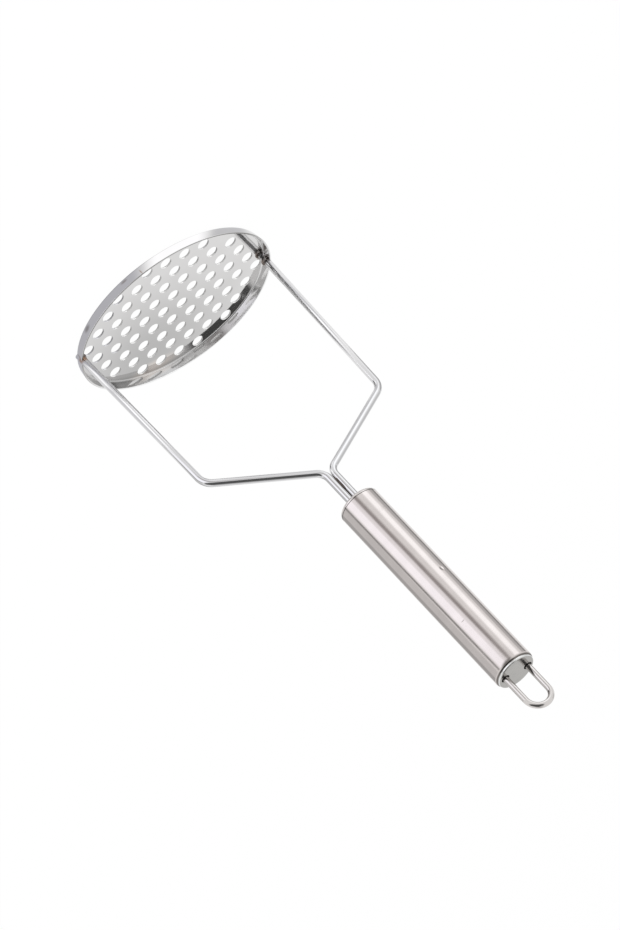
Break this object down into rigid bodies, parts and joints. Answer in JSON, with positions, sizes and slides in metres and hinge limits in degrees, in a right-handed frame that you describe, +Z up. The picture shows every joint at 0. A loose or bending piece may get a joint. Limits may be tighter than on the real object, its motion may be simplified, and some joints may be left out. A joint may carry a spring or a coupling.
{
  "type": "potato masher",
  "caption": "Stainless steel potato masher with an oval perforated mashing tray, two bent leg wires, a round tube handle and a wire loop for hanging.",
  "frame": {"origin": "middle of the tray's flat underside, which it stands on", "axes": "+Z up the handle from the tray to the hanging loop, +X across the two legs, +Y square to the plane of the legs"},
  "size_m": [0.1024, 0.0808, 0.2629],
  "materials": {
    "tray_steel": "mirror polished",
    "wire_steel": "polished",
    "weld_metal": "as welded, heat tinted",
    "cap_steel": "polished",
    "satin_tube": "satin",
    "rear_cap_steel": "fine satin",
    "loop_steel": "polished"
  },
  "bodies": {
    "root": {"mashing_tray": "tray_steel", "left_leg_wire": "wire_steel", "right_leg_wire": "wire_steel", "left_foot_weld": "weld_metal", "right_foot_weld": "weld_metal", "neck_weld": "weld_metal", "front_cap": "cap_steel", "front_cap_weld": "weld_metal", "handle_tube": "satin_tube", "rear_cap": "rear_cap_steel", "hang_loop": "loop_steel", "left_loop_weld": "weld_metal", "right_loop_weld": "weld_metal"}
  },
  "joints": []
}
